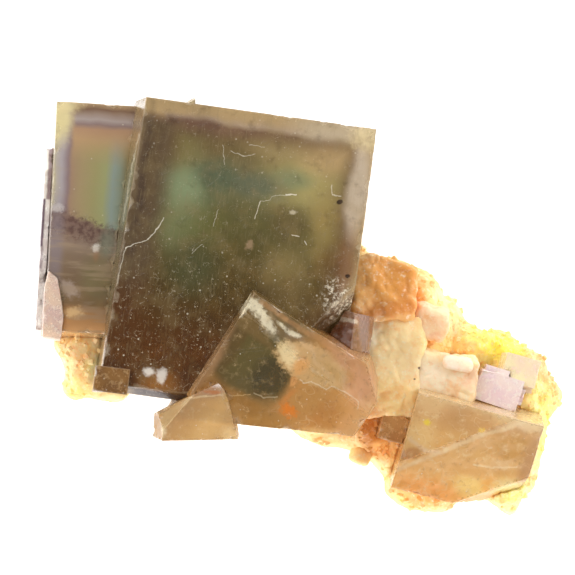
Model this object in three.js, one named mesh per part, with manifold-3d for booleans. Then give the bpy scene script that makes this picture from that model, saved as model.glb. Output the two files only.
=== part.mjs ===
// Fluorite specimen: colour-zoned cubes that grew together on a thin crust of iron-stained rock.
// It lies on the trimmed back of the crust, with the crystals' crowns facing up.
// Millimetres, +Z up. X runs along the crust and Y across it, towards the free end of the main crystal.
import * as THREE from "three";
import { mergeVertices } from "three/addons/utils/BufferGeometryUtils.js";
import Module from "manifold-3d";

const wasm = await Module();
wasm.setup();

// ---- Driving dimensions ----
const MAIN_CROWN = 30; // height of the main crystal's crown above the surface it lies on
const CRUST_PLATE = 4; // thickness of the crust behind the main crystal
const GAP = 0.3; // clearance between neighbours that grew together
const REACH = 120; // size of the blocks that stand for half-spaces, larger than the specimen
const WELD = 1e-4; // vertices closer than this are one

const COLOUR = {
  smoky: 0x6f6a42,
  straw: 0xb49a63,
  peach: 0xd8a878,
  orange: 0xd99543,
  cream: 0xe9cfa0,
  lilac: 0xd2b6be,
  plum: 0x7a5148,
  crust: 0xe0a94f,
};

// ---- Crystals ----
// size is width, length and depth; crown is the centre of the face that looks up; turn, pitch and roll
// are degrees about Z, X and Y. Each break is a flat fracture: a point on it and its outward normal.
const CRYSTALS = {
  main_crystal: {
    size: [35, 44, MAIN_CROWN - CRUST_PLATE],
    crown: [-8.83, 6.21, MAIN_CROWN],
    turn: -7.7,
    breaks: [
      { at: [-22.07, 30, MAIN_CROWN], normal: [-0.979, 0.158, 0.13] },
      { at: [-11.51, -13.61, MAIN_CROWN], normal: [-0.1294, -0.9573, 0.259] },
      { at: [-11.64, -14.51, MAIN_CROWN - 3.4], normal: [-0.1337, -0.9886, -0.07] },
      { at: [4.7, -0.6, MAIN_CROWN], normal: [0.65, -0.65, 0.4] },
    ],
    colour: COLOUR.smoky,
  },
  left_crystal: {
    size: [24, 33.6, 19],
    crown: [-23.8, 12.7, 22],
    turn: -3.3,
    colour: COLOUR.smoky,
  },
  edge_plate: {
    size: [0.7, 27, 7],
    crown: [-36.6, 10.5, 15],
    turn: -3.3,
    breaks: [
      { at: [-36.3, 20.5, 15], normal: [-0.3, 0.4, 0.85] },
      { at: [-36.8, 1, 9], normal: [0, -0.35, -0.94] },
    ],
    colour: COLOUR.plum,
  },
  foot_crystal: {
    size: [13, 14, 9],
    crown: [-13.1, -19.6, 31.6],
    turn: -40.7,
    roll: 25,
    breaks: [
      { at: [-13, -12.1, 32], normal: [-0.415, 0.91, 0] },
      { at: [-15, -19.5, 30], normal: [0, -1, -0.1] },
      { at: [-9.7, -15.3, 30], normal: [0.973, 0.229, 0.1] },
      { at: [-20.5, -16, 28], normal: [-1, 0, 0.1] },
    ],
    colour: COLOUR.straw,
  },
  front_crystal: {
    size: [23.8, 23.5, 15],
    crown: [-2.9, -14.7, 32],
    turn: -33,
    pitch: 11,
    roll: 5,
    breaks: [
      { at: [-1.5, -18, 30], normal: [-0.1, -1, -0.12] },
      { at: [4.5, -11.7, 32.9], normal: [0.211, 0.089, 0.973] },
      { at: [11.3, -12.3, 29], normal: [0.95, 0.25, 0.15] },
      { at: [9.8, -16.6, 30.5], normal: [0.8, -0.6, 0.1] },
    ],
    colour: COLOUR.straw,
  },
  corner_cube: {
    size: [5, 3.7, 5],
    crown: [-27.1, -11, MAIN_CROWN + 1.5],
    turn: -7.2,
    colour: COLOUR.straw,
  },
  side_crystal: {
    size: [3.6, 6.5, 8],
    crown: [6.6, -4, 26],
    turn: -5,
    roll: -25,
    colour: COLOUR.plum,
  },
  right_crystal: {
    size: [19.2, 15, 12],
    crown: [25.6, -21.8, 19],
    turn: -15.5,
    pitch: 12,
    breaks: [
      { at: [27.7, -18.4, 19.7], normal: [0.026, -0.402, 0.915] },
      { at: [31.2, -25.7, 18], normal: [0.3, -0.95, 0.1] },
    ],
    colour: COLOUR.straw,
  },
  orange_block: {
    size: [8.8, 8.2, 10],
    crown: [13.3, 3.1, 18.5],
    turn: -4,
    pitch: -4,
    roll: 6,
    breaks: [{ at: [17.3, 6.5, 17], normal: [0.6, 0.7, 0.5] }],
    colour: COLOUR.orange,
  },
  rounded_cube: {
    size: [4.5, 3.9, 5],
    crown: [20.2, -1.9, 16.8],
    turn: -12,
    pitch: 8,
    breaks: [
      { at: [18.4, -0.5, 16.8], normal: [-0.7, 0.6, 0.4] },
      { at: [22.1, -3.1, 16.8], normal: [0.7, -0.6, 0.4] },
    ],
    colour: COLOUR.lilac,
  },
  white_sliver: {
    size: [4, 1.3, 4],
    crown: [24.3, -8.1, 18],
    turn: -10,
    pitch: 10,
    colour: COLOUR.cream,
  },
  cream_cube: {
    size: [8.8, 5.8, 8],
    crown: [22.6, -9.6, 16.4],
    turn: -9,
    pitch: 5,
    colour: COLOUR.cream,
  },
  cream_block: {
    size: [8.2, 14.4, 9],
    crown: [14.2, -8.2, 17.2],
    turn: -6,
    pitch: 3,
    roll: -3,
    breaks: [{ at: [11.1, -1.9, 17], normal: [-0.7, 0.45, 0.8] }],
    colour: COLOUR.cream,
  },
  brown_cube: {
    size: [3.9, 3.7, 5],
    crown: [14.8, -17.5, 16.6],
    turn: -14,
    pitch: 6,
    colour: COLOUR.straw,
  },
  lilac_crystal: {
    size: [6.5, 4.9, 5],
    crown: [30.6, -11.8, 14.6],
    turn: -17,
    pitch: 4,
    steps: [
      { size: [3.6, 4.9, 5], shift: [-1, 0.8, -0.5] },
      { size: [7.3, 2.4, 5], shift: [0.2, 0.1, -1.1] },
    ],
    colour: COLOUR.lilac,
  },
  pink_cube: {
    size: [5.2, 4.2, 5],
    crown: [34, -8.7, 13.6],
    turn: -15,
    roll: 6,
    steps: [{ size: [3.2, 1.6, 4], shift: [0.9, -2.1, -0.8] }],
    colour: COLOUR.lilac,
  },
  fringe_cube: {
    size: [2.2, 1.9, 3],
    crown: [10.8, -21.3, 10.4],
    turn: -24,
    roll: 12,
    colour: COLOUR.straw,
  },
  top_knob: {
    size: [1.6, 1.5, 2],
    crown: [-15.4, 29.1, 28.6],
    turn: 18,
    pitch: 12,
    colour: COLOUR.straw,
  },
};

// The flake let into the left crystal's edge: its outline, seen from above, and its height span.
const FLAKE = {
  outline: [
    [-36, 5.3],
    [-36.6, 2.8],
    [-36.9, -4.3],
    [-34.2, -4.8],
    [-33.8, -1.5],
    [-34.1, 0.9],
    [-34.7, 4.2],
  ],
  low: 17.5,
  high: 22.6,
  colour: COLOUR.lilac,
};

// ---- Crust ----
// Its outline seen from above, anticlockwise from the left end.
const CRUST_OUTLINE = [
  [-34.5, -4.3],
  [-33.5, -6.1],
  [-32.8, -8.3],
  [-33, -11.4],
  [-31.5, -12.5],
  [-29.9, -12],
  [-26.8, -12.7],
  [-24.3, -12.4],
  [-22.3, -10.2],
  [-17.1, -10.6],
  [-13.4, -13.1],
  [-8.2, -14.7],
  [-1.5, -16.1],
  [1.1, -16.8],
  [2.2, -17.8],
  [5.1, -19.1],
  [8.2, -19.5],
  [10.7, -20.4],
  [13, -21.8],
  [15, -24.2],
  [15.1, -26.1],
  [17, -28],
  [20.2, -28.8],
  [23.4, -29],
  [24.5, -28],
  [27, -27],
  [29.9, -27.1],
  [32.4, -29],
  [33.7, -29.4],
  [34.8, -26.8],
  [36.5, -25.7],
  [37.3, -21.5],
  [38.9, -15.2],
  [40.8, -12.2],
  [40.2, -10.8],
  [38.4, -8.1],
  [37.9, -6.5],
  [35.1, -5.2],
  [32.6, -2.7],
  [30.6, -2.7],
  [29.1, -3.2],
  [27, -1.7],
  [25.6, -0.3],
  [24.8, 2.3],
  [23, 2.7],
  [22.3, 4.4],
  [20.7, 6.4],
  [18.6, 7],
  [16.8, 7.8],
  [13.8, 8],
  [11.5, 9.4],
  [8.7, 12.8],
  [0.5, 15.3],
  [-12.8, 15.6],
  [-23.1, 12.1],
  [-28.2, 3.9],
  [-33.2, -2.1],
];
const CRUST = {
  rim: 5.4, // height of the plate's flat top
  roundOver: 1.8, // how far its edge rounds over
  pointsPerSpan: 2,
};

// Lumps that make its relief: centre, radii along X and Y, and the height of the top.
const LUMPS = [
  { at: [14, 1.6], reach: [8, 7.6], top: 13.2 },
  { at: [19.4, 1.6], reach: [4.6, 5], top: 11.6 },
  { at: [15.5, -7.9], reach: [9, 11], top: 12.8 },
  { at: [21.4, -3.2], reach: [5.6, 6], top: 13 },
  { at: [26.4, -5.4], reach: [6, 5], top: 10.8 },
  { at: [30.8, -5.6], reach: [4.6, 4], top: 8.8 },
  { at: [34, -9.9], reach: [6.4, 6.4], top: 10.2 },
  { at: [37.2, -12.4], reach: [4, 5], top: 8.2 },
  { at: [24, -17.9], reach: [15, 12], top: 11.2 },
  { at: [33.4, -17.6], reach: [6, 9], top: 10.6 },
  { at: [17.6, -24.9], reach: [5, 4.6], top: 11.8 },
  { at: [21.8, -26.2], reach: [4.6, 4], top: 10.8 },
  { at: [28, -24.4], reach: [6, 4.4], top: 9.6 },
  { at: [32.4, -25.9], reach: [4.6, 5], top: 9 },
  { at: [10.6, -16.9], reach: [6.4, 5.6], top: 12.6 },
  { at: [12.6, -20.4], reach: [4, 4.4], top: 9.6 },
  { at: [1.6, -14.6], reach: [9, 5.4], top: 15 },
  { at: [6.6, -17.2], reach: [4.8, 3.6], top: 10.5 },
  { at: [-30, -7], reach: [5.4, 6.6], top: 10.8 },
  { at: [-30.6, -10.6], reach: [4.4, 3.8], top: 8.4 },
  { at: [-26.4, -11.4], reach: [4.6, 3], top: 7.4 },
  { at: [7.6, -8.4], reach: [6.4, 8], top: 14.6 },
];
const LUMP_DETAIL = 2; // how many times a lump's icosahedron is divided
const LUMP_ROUGHNESS = 0.09; // share of a lump's radius that its surface wavers by

// Shallow hollows of the trimmed back, so that it bears on the flat land between them.
const BACK_HOLLOWS = [
  { at: [-20, 5], reach: [5, 3.5], depth: 0.7 },
  { at: [2, -6], reach: [6, 3], depth: 0.9 },
  { at: [22, -8], reach: [4, 5], depth: 0.8 },
  { at: [27, -21], reach: [5, 3], depth: 0.8 },
  { at: [-2, 6.5], reach: [5, 2.5], depth: 0.6 },
];

// ---- Solids ----
// A closed three.js geometry as a manifold-3d solid.
function toSolid(geometry) {
  const bare = geometry.index ? geometry.toNonIndexed() : geometry.clone();
  const shape = new THREE.BufferGeometry().setAttribute(
    "position",
    bare.getAttribute("position"),
  );
  const welded = mergeVertices(shape, WELD);
  return new wasm.Manifold(
    new wasm.Mesh({
      numProp: 3,
      vertProperties: new Float32Array(welded.getAttribute("position").array),
      triVerts: new Uint32Array(welded.index.array),
    }),
  );
}

// A manifold-3d solid as a three.js geometry.
function toGeometry(solid) {
  const made = solid.getMesh();
  const geometry = new THREE.BufferGeometry();
  geometry.setAttribute(
    "position",
    new THREE.BufferAttribute(new Float32Array(made.vertProperties), 3),
  );
  geometry.setIndex(
    new THREE.BufferAttribute(new Uint32Array(made.triVerts), 1),
  );
  geometry.computeVertexNormals();
  return geometry;
}

// How a crystal stands: its turn about Z, after its pitch about X, after its roll about Y.
function stance({ turn = 0, pitch = 0, roll = 0 }) {
  const [z, x, y] = [turn, pitch, roll].map(THREE.MathUtils.degToRad);
  return new THREE.Quaternion().setFromEuler(new THREE.Euler(x, y, z, "ZXY"));
}

// A block standing for everything beyond a plane.
function beyond({ at, normal }, grow) {
  const out = new THREE.Vector3(...normal).normalize();
  const turned = new THREE.Quaternion().setFromUnitVectors(
    new THREE.Vector3(0, 0, 1),
    out,
  );
  const middle = new THREE.Vector3(...at).addScaledVector(
    out,
    REACH / 2 + grow,
  );
  const block = new THREE.BoxGeometry(REACH, REACH, REACH);
  block.applyQuaternion(turned);
  block.translate(middle.x, middle.y, middle.z);
  return toSolid(block);
}

// A crystal with its growth steps and fractures. grow widens it on every side, for its neighbours to clear.
function crystalSolid(crystal, grow = 0) {
  const turned = stance(crystal);
  const blocks = [
    { size: crystal.size, shift: [0, 0, 0] },
    ...(crystal.steps ?? []),
  ];
  const parts = blocks.map(({ size, shift }) => {
    const [width, length, depth] = size.map((side) => side + 2 * grow);
    const block = new THREE.BoxGeometry(width, length, depth);
    block.translate(shift[0], shift[1], shift[2] - size[2] / 2);
    block.applyQuaternion(turned);
    block.translate(...crystal.crown);
    return toSolid(block);
  });
  const whole = parts.reduce((sum, part) => sum.add(part));
  return (crystal.breaks ?? []).reduce(
    (left, fracture) => left.subtract(beyond(fracture, grow)),
    whole,
  );
}

// The largest body of a solid, without the crumbs that a cut leaves.
function largestBody(solid) {
  const bodies = solid.decompose();
  return bodies.reduce((best, body) =>
    body.volume() > best.volume() ? body : best,
  );
}

// A gentle waver over the unit sphere, different for each lump.
function waver(point, phase) {
  return (
    Math.sin(3.1 * point.x + 2.3 * point.y + phase) +
    Math.sin(4.3 * point.y - 2.9 * point.z + 1.7 * phase) +
    Math.sin(5.2 * point.z + 3.7 * point.x + 2.9 * phase)
  );
}

// A lump of the crust: a mound whose middle is on the surface the specimen lies on.
function lumpSolid({ at, reach, top }, index) {
  const ball = new THREE.IcosahedronGeometry(1, LUMP_DETAIL);
  const places = ball.getAttribute("position");
  const point = new THREE.Vector3();
  for (let i = 0; i < places.count; i++) {
    point.fromBufferAttribute(places, i);
    const swell = 1 + (LUMP_ROUGHNESS / 2) * waver(point, index * 1.3);
    places.setXYZ(i, ...point.multiplyScalar(swell).toArray());
  }
  ball.scale(reach[0], reach[1], top);
  ball.translate(at[0], at[1], 0);
  return toSolid(ball);
}

// The crust's outline drawn up to a height, with its edge rounded over or left square.
function outlineSolid(height, roundOver) {
  const points = CRUST_OUTLINE.map(([x, y]) => new THREE.Vector3(x, y, 0));
  const edge = new THREE.CatmullRomCurve3(points, true, "centripetal");
  const spans = CRUST_OUTLINE.length * CRUST.pointsPerSpan;
  const outline = edge
    .getPoints(spans)
    .slice(0, spans)
    .map(({ x, y }) => new THREE.Vector2(x, y));
  const drawn = new THREE.ExtrudeGeometry(new THREE.Shape(outline), {
    depth: height - roundOver,
    bevelEnabled: roundOver > 0,
    bevelThickness: roundOver,
    bevelSize: 0.6,
    bevelOffset: -0.6,
    bevelSegments: 2,
    curveSegments: 1,
  });
  return toSolid(drawn);
}

function crustSolid(neighbours) {
  const plate = outlineSolid(CRUST.rim, CRUST.roundOver);
  const mounds = LUMPS.map(lumpSolid).reduce((sum, lump) => sum.add(lump));
  const rough = plate.add(mounds.intersect(outlineSolid(REACH, 0)));
  const trimmed = rough.subtract(
    beyond({ at: [0, 0, 0], normal: [0, 0, -1] }, 0),
  );
  const hollowed = BACK_HOLLOWS.reduce((left, { at, reach, depth }) => {
    const bowl = new THREE.IcosahedronGeometry(1, LUMP_DETAIL);
    bowl.scale(reach[0], reach[1], depth);
    bowl.translate(at[0], at[1], 0);
    return left.subtract(toSolid(bowl));
  }, trimmed);
  return largestBody(
    neighbours.reduce((left, other) => left.subtract(other), hollowed),
  );
}

function flakeSolid(grow = 0) {
  const outline = FLAKE.outline.map(([x, y]) => new THREE.Vector2(x, y));
  const middle = outline
    .reduce((sum, point) => sum.add(point), new THREE.Vector2())
    .divideScalar(outline.length);
  const widened = outline.map((point) => {
    const out = point.clone().sub(middle);
    return out.setLength(out.length() + 1.6 * grow).add(middle);
  });
  const plate = new THREE.ExtrudeGeometry(new THREE.Shape(widened), {
    depth: FLAKE.high - FLAKE.low + 2 * grow,
    bevelEnabled: false,
  });
  plate.translate(0, 0, FLAKE.low - grow);
  return toSolid(plate);
}

// ---- Assembly ----
const specimen = new THREE.Group();

function addNode(name, solid, colour, roughness) {
  const material = new THREE.MeshStandardMaterial({
    color: colour,
    roughness,
    metalness: 0,
  });
  const mesh = new THREE.Mesh(toGeometry(solid), material);
  mesh.name = name;
  specimen.add(mesh);
}

// Each crystal is cut by those before it, which grew first, and the crust is cut by them all.
const cleared = [flakeSolid(GAP)];
addNode("pink_flake", flakeSolid(), FLAKE.colour, 0.35);
for (const [name, crystal] of Object.entries(CRYSTALS)) {
  const whole = crystalSolid(crystal);
  const cut = cleared.reduce((left, other) => left.subtract(other), whole);
  addNode(name, largestBody(cut), crystal.colour, 0.12);
  cleared.push(crystalSolid(crystal, GAP));
}
addNode("crust", crustSolid(cleared), COLOUR.crust, 0.6);

// The origin is the middle of the specimen's box, on the surface it lies on.
const box = new THREE.Box3().setFromObject(specimen);
const middle = box.getCenter(new THREE.Vector3());
specimen.position.set(-middle.x, -middle.y, -box.min.z);

const part = new THREE.Group();
part.add(specimen);

export default part;
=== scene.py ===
"""Fluorite specimen: zoned cubes on a granular crust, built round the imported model."""

import math
import random

import bmesh
import bpy
from mathutils import Euler, Matrix, Vector, noise
from mathutils.bvhtree import BVHTree
from mathutils.kdtree import KDTree


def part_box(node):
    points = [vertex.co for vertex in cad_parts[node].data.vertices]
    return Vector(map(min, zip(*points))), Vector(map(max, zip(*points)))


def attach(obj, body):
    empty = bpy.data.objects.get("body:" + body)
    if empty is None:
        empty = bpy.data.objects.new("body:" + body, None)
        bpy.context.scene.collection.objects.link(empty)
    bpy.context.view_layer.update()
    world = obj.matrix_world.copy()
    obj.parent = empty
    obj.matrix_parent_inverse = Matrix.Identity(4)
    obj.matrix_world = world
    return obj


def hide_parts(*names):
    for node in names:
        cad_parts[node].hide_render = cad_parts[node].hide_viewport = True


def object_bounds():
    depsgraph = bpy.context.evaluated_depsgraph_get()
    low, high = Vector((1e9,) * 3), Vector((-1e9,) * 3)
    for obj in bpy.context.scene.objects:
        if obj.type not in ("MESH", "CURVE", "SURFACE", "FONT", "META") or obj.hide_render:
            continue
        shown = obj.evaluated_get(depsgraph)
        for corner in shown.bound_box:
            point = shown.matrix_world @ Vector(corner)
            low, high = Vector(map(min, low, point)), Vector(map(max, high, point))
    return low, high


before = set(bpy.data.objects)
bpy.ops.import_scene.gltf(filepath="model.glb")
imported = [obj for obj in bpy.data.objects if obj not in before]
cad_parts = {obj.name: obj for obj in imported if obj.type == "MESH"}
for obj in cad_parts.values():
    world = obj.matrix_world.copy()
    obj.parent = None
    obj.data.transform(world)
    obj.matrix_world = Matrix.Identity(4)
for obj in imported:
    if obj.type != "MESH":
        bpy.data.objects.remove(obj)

bl_info = {
    "name": "Fluorite Specimen",
    "version": (1, 0, 0),
    "blender": (4, 5, 0),
    "location": "3D View > Sidebar > Fluorite",
    "description": "Builds zoned fluorite cubes on a granular crust round a packed model",
    "category": "Add Mesh",
}

CAD_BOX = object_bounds()
MM = 0.001
BODY = "root"

SEAM_REACH = 0.5 * MM      # a gap up to this wide between neighbours is closed
SEAM_OVERLAP = 0.05 * MM   # how far a closed seam passes into its neighbour
BEND = 0.9 * MM            # how far a granular block's sides wander
BLOCK_SPACING = 0.28 * MM  # between the points of a block's skin
BLOCK_ROUNDING = 4         # how many times a block's corners are smoothed
BLOCK_GRAINS = ((0.6, 0.2), (1.5, 0.09))   # grains to the millimetre, height in mm
GRAIN_SEED = 7
SHARP = math.radians(20)   # an edge bent more than this is a crystal's edge
ANY_DEPTH = 1e6            # makes a patch or line run right through a crystal

KEY_PLACE = (-0.7, 0.65, 0.85)
KEY_SIZE = 0.8
KEY_POWER = 7.0
SKY_LOW, SKY_HIGH = (0.35, 2.4), (0.95, 0.3)   # height in the sky, and its light
VIEW_FROM = (-0.06, -0.055, 1.0)
AIM_SHARES = (0.4607, 0.5339)   # where the camera aims, as shares of the box
AIM_HEIGHT = 30 * MM

# Cutting order of the model: each crystal was cut by those above it in the list.
# node: (turn, pitch, roll in degrees, where its crown's centre lies as shares of its box)
STANCE = {
    "pink_flake": (0, 0, 0, (0.5, 0.5, 1.0)),
    "main_crystal": (-7.7, 0, 0, (0.502, 0.492, 1.0)),
    "left_crystal": (-3.3, 0, 0, (0.5, 0.5, 1.0)),
    "edge_plate": (-3.3, 0, 0, (0.5, 0.5, 1.0)),
    "foot_crystal": (-40.7, 0, 25, (0.613, 0.029, 0.801)),
    "front_crystal": (-33, 11, 5, (0.504, 0.203, 0.854)),
    "corner_cube": (-7.2, 0, 0, (0.5, 0.5, 1.0)),
    "side_crystal": (-5, 0, -25, (0.5, 0.5, 1.0)),
    "right_crystal": (-15.5, 12, 0, (0.486, 0.353, 0.893)),
    "orange_block": (-4, -4, 6, (0.5, 0.5, 1.0)),
    "rounded_cube": (-12, 8, 0, (0.5, 0.5, 1.0)),
    "white_sliver": (-10, 10, 0, (0.5, 0.5, 1.0)),
    "cream_cube": (-9, 5, 0, (0.5, 0.5, 1.0)),
    "cream_block": (-6, 3, -3, (0.5, 0.5, 1.0)),
    "brown_cube": (-14, 6, 0, (0.5, 0.5, 1.0)),
    "lilac_crystal": (-17, 4, 0, (0.5, 0.5, 1.0)),
    "pink_cube": (-15, 0, 6, (0.5, 0.5, 1.0)),
    "fringe_cube": (-24, 0, 12, (0.5, 0.5, 1.0)),
    "top_knob": (18, 12, 0, (0.5, 0.5, 1.0)),
}
ORDER = list(STANCE)


def rgb(red, green, blue):
    """A linear colour from a swatch given in 0 to 255."""
    def linear(value):
        share = value / 255
        return share / 12.92 if share <= 0.04045 else ((share + 0.055) / 1.055) ** 2.4
    return (linear(red), linear(green), linear(blue), 1.0)


def axes(node):
    """The turn of a crystal's own axes."""
    turn, pitch, roll, _ = STANCE[node]
    return (Matrix.Rotation(math.radians(turn), 3, "Z")
            @ Matrix.Rotation(math.radians(pitch), 3, "X")
            @ Matrix.Rotation(math.radians(roll), 3, "Y"))


def crown(node):
    """The centre of a crystal's crown face."""
    low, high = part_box(node)
    shares = STANCE[node][3]
    return Vector(low[i] + (high[i] - low[i]) * shares[i] for i in range(3))


def smoothstep(low, high, value):
    """A smooth change from 0 to 1 as value goes from low to high, or back if low is the larger."""
    share = min(1.0, max(0.0, (value - low) / (high - low)))
    return share * share * (3 - 2 * share)


# ---------------------------------------------------------------- materials

class Tree:
    """A material's node tree. Each call adds a node and gives back its output."""

    def __init__(self, name, centre=None, turn=None):
        self.material = bpy.data.materials.new(name)
        self.material.use_nodes = True
        self.nodes = self.material.node_tree.nodes
        self.links = self.material.node_tree.links
        self.nodes.clear()
        output = self.nodes.new("ShaderNodeOutputMaterial")
        self.shader = self.nodes.new("ShaderNodeBsdfPrincipled")
        self.links.new(self.shader.outputs[0], output.inputs["Surface"])
        where = self.nodes.new("ShaderNodeTexCoord").outputs["Object"]
        centre = centre if centre is not None else Vector((0, 0, 0))
        turn = turn if turn is not None else Matrix.Identity(3)
        self.local = self.place(where, centre, turn.to_euler(), (MM, MM, MM))
        self.at = self.fine = self.local
        self.torn = None

    def feed(self, socket, value):
        """Links an output to a socket, or sets a plain value on it."""
        if isinstance(value, bpy.types.NodeSocket):
            self.links.new(value, socket)
        else:
            socket.default_value = value

    def place(self, vector, centre, turn, size):
        """Coordinates measured from centre, along turned axes, in units of size."""
        node = self.nodes.new("ShaderNodeMapping")
        node.vector_type = "TEXTURE"
        self.feed(node.inputs["Vector"], vector)
        node.inputs["Location"].default_value = centre
        node.inputs["Rotation"].default_value = turn
        node.inputs["Scale"].default_value = size
        return node.outputs[0]

    def math(self, operation, first, second=0.0, third=0.0, clamp=False):
        node = self.nodes.new("ShaderNodeMath")
        node.operation = operation
        node.use_clamp = clamp
        for socket, value in zip(node.inputs, (first, second, third)):
            self.feed(socket, value)
        return node.outputs[0]

    def vector(self, operation, first, second=(0, 0, 0), scale=1.0):
        node = self.nodes.new("ShaderNodeVectorMath")
        node.operation = operation
        self.feed(node.inputs[0], first)
        self.feed(node.inputs[1], second)
        if operation == "SCALE":
            node.inputs[3].default_value = scale
        return node.outputs["Value" if operation in ("LENGTH", "DOT_PRODUCT") else "Vector"]

    def split(self, vector):
        """A vector's x, y and z."""
        node = self.nodes.new("ShaderNodeSeparateXYZ")
        self.feed(node.inputs[0], vector)
        return node.outputs[0], node.outputs[1], node.outputs[2]

    def step(self, value, low, high, start=0.0, end=1.0):
        """A smooth change from start to end as value goes from low to high."""
        node = self.nodes.new("ShaderNodeMapRange")
        node.interpolation_type = "SMOOTHSTEP"
        for name, given in (("Value", value), ("From Min", low), ("From Max", high),
                            ("To Min", start), ("To Max", end)):
            self.feed(node.inputs[name], given)
        return node.outputs[0]

    def mix(self, factor, first, second, blend="MIX"):
        node = self.nodes.new("ShaderNodeMix")
        node.data_type = "RGBA"
        node.blend_type = blend
        self.feed(node.inputs[0], factor)
        self.feed(node.inputs[6], first)
        self.feed(node.inputs[7], second)
        return node.outputs[2]

    def ramp(self, value, stops, ease="LINEAR"):
        """A colour for value, from (value, swatch) stops in rising order."""
        low, high = stops[0][0], stops[-1][0]
        share = self.nodes.new("ShaderNodeMapRange")
        self.feed(share.inputs["Value"], value)
        share.inputs["From Min"].default_value = low
        share.inputs["From Max"].default_value = high
        node = self.nodes.new("ShaderNodeValToRGB")
        node.color_ramp.interpolation = ease
        points = node.color_ramp.elements
        while len(points) < len(stops):
            points.new(0.5)
        for point, (at, colour) in zip(points, stops):
            point.position = (at - low) / (high - low)
            point.color = rgb(*colour)
        self.links.new(share.outputs[0], node.inputs[0])
        return node.outputs[0]

    def noise(self, scale, detail=3.0, roughness=0.55, vector=None, colour=False):
        """Noise with about scale bumps to the millimetre."""
        node = self.nodes.new("ShaderNodeTexNoise")
        self.feed(node.inputs["Vector"], self.local if vector is None else vector)
        node.inputs["Scale"].default_value = scale
        node.inputs["Detail"].default_value = detail
        node.inputs["Roughness"].default_value = roughness
        return node.outputs["Color" if colour else "Fac"]

    def cells(self, scale):
        """A grain's distance and colour, with about scale grains to the millimetre."""
        node = self.nodes.new("ShaderNodeTexVoronoi")
        self.feed(node.inputs["Vector"], self.local)
        node.inputs["Scale"].default_value = scale
        return node.outputs["Distance"], node.outputs["Color"]

    def wave_about(self, amount, scale):
        """Makes later patches and lines waver by about amount millimetres."""
        self.at = self.shaken(amount, scale, 2.0)
        self.fine = self.shaken(0.3, 1.1, 3.0)

    def shaken(self, amount, scale, detail):
        """The crystal's coordinates, moved by noise."""
        shake = self.vector("SUBTRACT", self.noise(scale, detail, colour=True), (0.5, 0.5, 0.5))
        return self.vector("ADD", self.local, self.vector("SCALE", shake, scale=2 * amount))

    def attribute(self, name):
        """What weather() noted at each point under this name."""
        node = self.nodes.new("ShaderNodeAttribute")
        node.attribute_name = name
        return node.outputs["Fac"]

    def patch(self, colour, x, y, width, height, tint, amount=1.0, turn=0.0, soft=0.6, ragged=0.0):
        """Lays a soft-edged oval of tint over colour, centred at x, y in the crystal's plan."""
        spot = self.place(self.at, (x, y, 0), (0, 0, math.radians(turn)), (width, height, ANY_DEPTH))
        reach = self.vector("LENGTH", spot)
        if ragged:
            self.torn = self.torn or self.math("SUBTRACT", self.noise(1.5, 5.0, 0.7), 0.5)
            reach = self.math("MULTIPLY_ADD", self.torn, 4 * ragged, reach)
        cover = self.step(reach, 1 - soft, 1 + soft, amount, 0.0)
        return self.mix(cover, colour, rgb(*tint))

    def patches(self, colour, rows):
        """Lays patches in order: x, y, width, height, tint, amount, turn, soft, ragged."""
        for row in rows:
            colour = self.patch(colour, *row)
        return colour

    def line_cover(self, start, end, width, soft):
        """How much a point lies on the line from start to end."""
        run = Vector(end) - Vector(start)
        middle = (Vector(start) + Vector(end)) / 2
        along = self.place(self.fine, (middle.x, middle.y, 0), (0, 0, math.atan2(run.y, run.x)),
                           (1, 1, ANY_DEPTH))
        past = self.vector("SUBTRACT", self.vector("ABSOLUTE", along), (run.length / 2, 0, 0))
        away = self.vector("LENGTH", self.vector("MAXIMUM", past, (0, 0, 0)))
        return self.step(away, width * (1 - soft), width * (1 + soft), 1.0, 0.0)

    def zone(self, colour, left, right, low, high, tint, strength=1.0, soft=0.5):
        """Tints a stretch bounded along the crystal's own axes, with wavering sides."""
        x, y, _ = self.split(self.at)
        across = self.math("MINIMUM", self.step(x, left - soft, left + soft),
                           self.step(x, right + soft, right - soft))
        along = self.math("MINIMUM", self.step(y, low - soft, low + soft),
                          self.step(y, high + soft, high - soft))
        cover = self.math("MULTIPLY", self.math("MINIMUM", across, along), strength)
        return self.mix(cover, colour, rgb(*tint))

    def path(self, colour, points, width, tint, amount=1.0, soft=0.5):
        """Draws a wavering line through points."""
        for start, end in zip(points, points[1:]):
            cover = self.line_cover(start, end, width, soft)
            colour = self.mix(self.math("MULTIPLY", cover, amount), colour, rgb(*tint))
        return colour

    def specks(self, colour, scale, size, tint, amount, keep, where=None):
        """Strews small round specks. keep is the share of cells that have one."""
        distance, draw = self.cells(scale)
        near = self.step(distance, size * 0.5, size, 1.0, 0.0)
        lucky = self.math("LESS_THAN", self.split(draw)[0], keep)
        cover = self.math("MULTIPLY", self.math("MULTIPLY", near, lucky), amount)
        if where is not None:
            cover = self.math("MULTIPLY", cover, where)
        return self.mix(cover, colour, rgb(*tint))

    def curls(self, scale, thin, keep, seed=0.0):
        """Short curly scratches, as a 0 to 1 cover."""
        moved = self.vector("ADD", self.local, (seed, 2 * seed, 0))
        lines = self.math("ABSOLUTE", self.math("SUBTRACT", self.noise(scale, 1.0, 0.4, vector=moved), 0.5))
        gate = self.step(self.noise(scale * 0.9, 1.0, vector=self.vector("ADD", moved, (31, 17, 5))),
                         keep, keep + 0.03)
        return self.math("MULTIPLY", self.step(lines, 0.0, thin, 1.0, 0.0), gate)

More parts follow.
